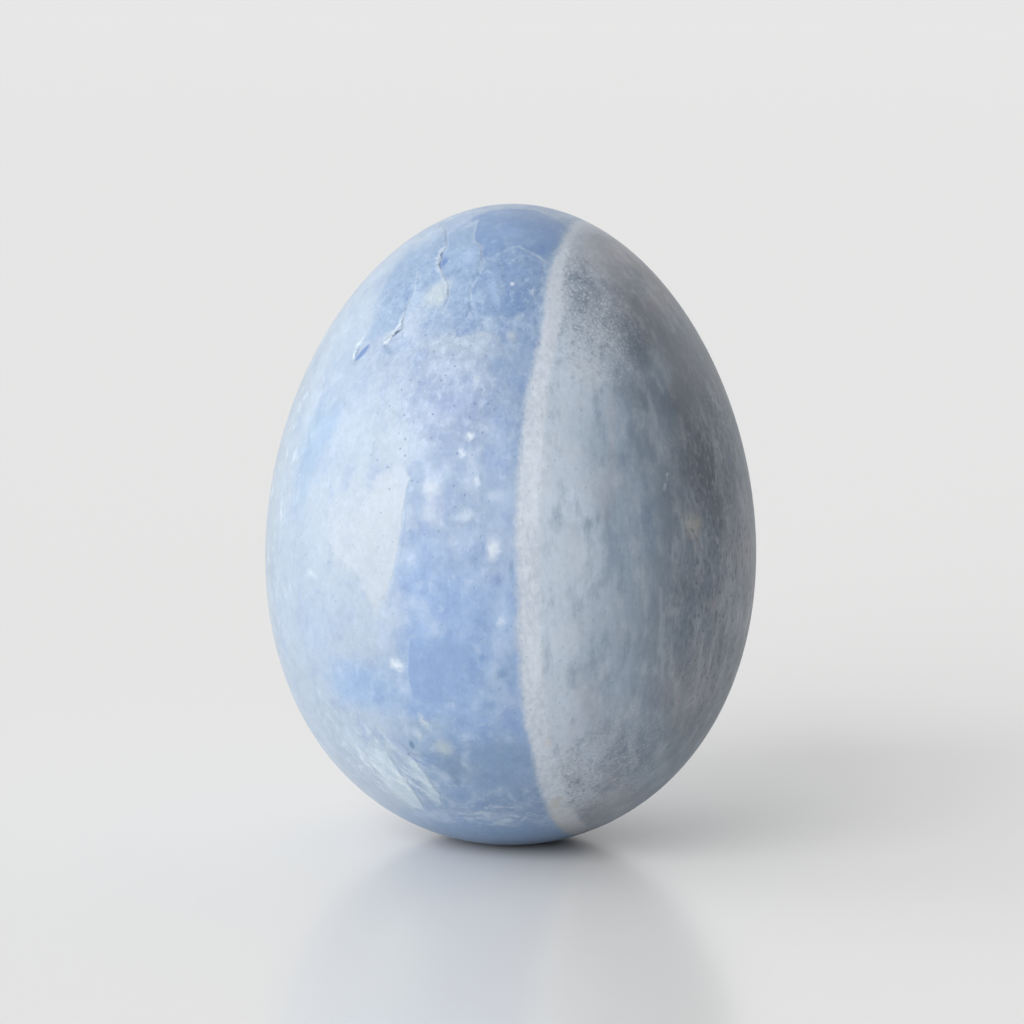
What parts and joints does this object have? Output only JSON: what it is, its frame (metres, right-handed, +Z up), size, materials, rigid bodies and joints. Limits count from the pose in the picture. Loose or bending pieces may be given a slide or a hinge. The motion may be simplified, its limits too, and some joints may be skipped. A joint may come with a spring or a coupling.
{
  "type": "stone egg ornament",
  "caption": "Polished egg-shaped stone ornament in blue calcite, crossed by a pale vein, standing upright on a small ground foot.",
  "frame": {"origin": "centre of the ground foot, on the surface the egg stands on", "axes": "+Z up along the egg's axis, from the foot to the narrow end; +X square to the vein, from the sky blue side to the slate blue side"},
  "size_m": [0.055, 0.055, 0.0715],
  "materials": {
    "sky_blue_calcite": "satin polish",
    "pale_vein_calcite": "fine-grained satin polish",
    "slate_blue_calcite": "satin polish"
  },
  "bodies": {
    "root": {"sky_blue_side": "sky_blue_calcite", "pale_vein": "pale_vein_calcite", "slate_blue_side": "slate_blue_calcite"}
  },
  "joints": []
}
